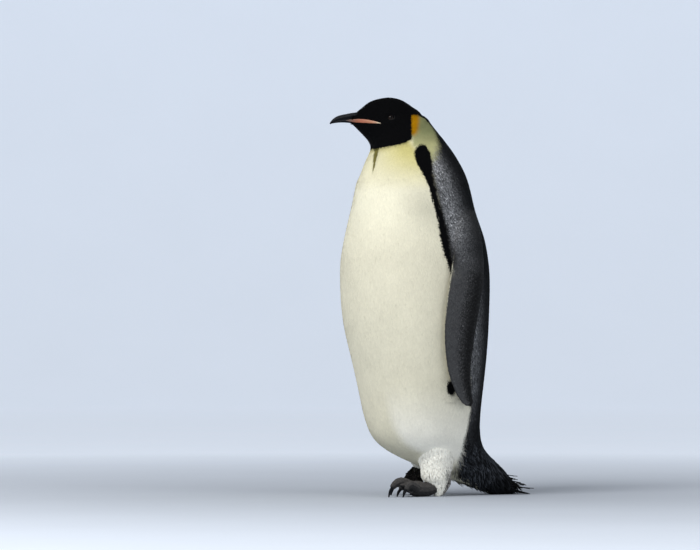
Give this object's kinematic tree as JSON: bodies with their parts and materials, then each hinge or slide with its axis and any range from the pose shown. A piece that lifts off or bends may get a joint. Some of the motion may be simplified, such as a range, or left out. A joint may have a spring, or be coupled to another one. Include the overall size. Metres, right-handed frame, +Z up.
{
  "type": "emperor penguin",
  "caption": "Life-size still model of an adult emperor penguin in mid stride, head turned a little to its right, resting on its feet, claws and tail tips.",
  "frame": {"origin": "middle of the bird's bounding box, at the level of its soles", "axes": "+Z up, -Y the way the breast faces, +X towards the bird's left flipper"},
  "size_m": [0.4102, 0.5658, 1.0994],
  "materials": {
    "black_plumage": "short dense blue-black feathers",
    "white_plumage": "short dense creamy-white feathers, yellow at the upper breast",
    "flipper_plumage": "tiny stiff scale-like slate-grey feathers",
    "bill_horn": "smooth black horn with a satin sheen",
    "bill_plate": "smooth pink-orange horn plate",
    "foot_skin": "black scaly skin, brown-grey where worn",
    "claw": "dark blunt horn",
    "eye": "wet, very dark brown"
  },
  "bodies": {
    "root": {"head": "black_plumage", "neck": "white_plumage", "trunk": "white_plumage", "tail": "black_plumage", "bill_upper": "bill_horn", "bill_lower": "bill_horn", "bill_plate_left": "bill_plate", "eye_left": "eye", "flipper_left": "flipper_plumage", "leg_left": "white_plumage", "foot_left": "foot_skin", "claw_left_inner": "claw", "claw_left_middle": "claw", "claw_left_outer": "claw", "claw_left_hind": "claw", "bill_plate_right": "bill_plate", "eye_right": "eye", "flipper_right": "flipper_plumage", "leg_right": "white_plumage", "foot_right": "foot_skin", "claw_right_inner": "claw", "claw_right_middle": "claw", "claw_right_outer": "claw", "claw_right_hind": "claw"}
  },
  "joints": []
}
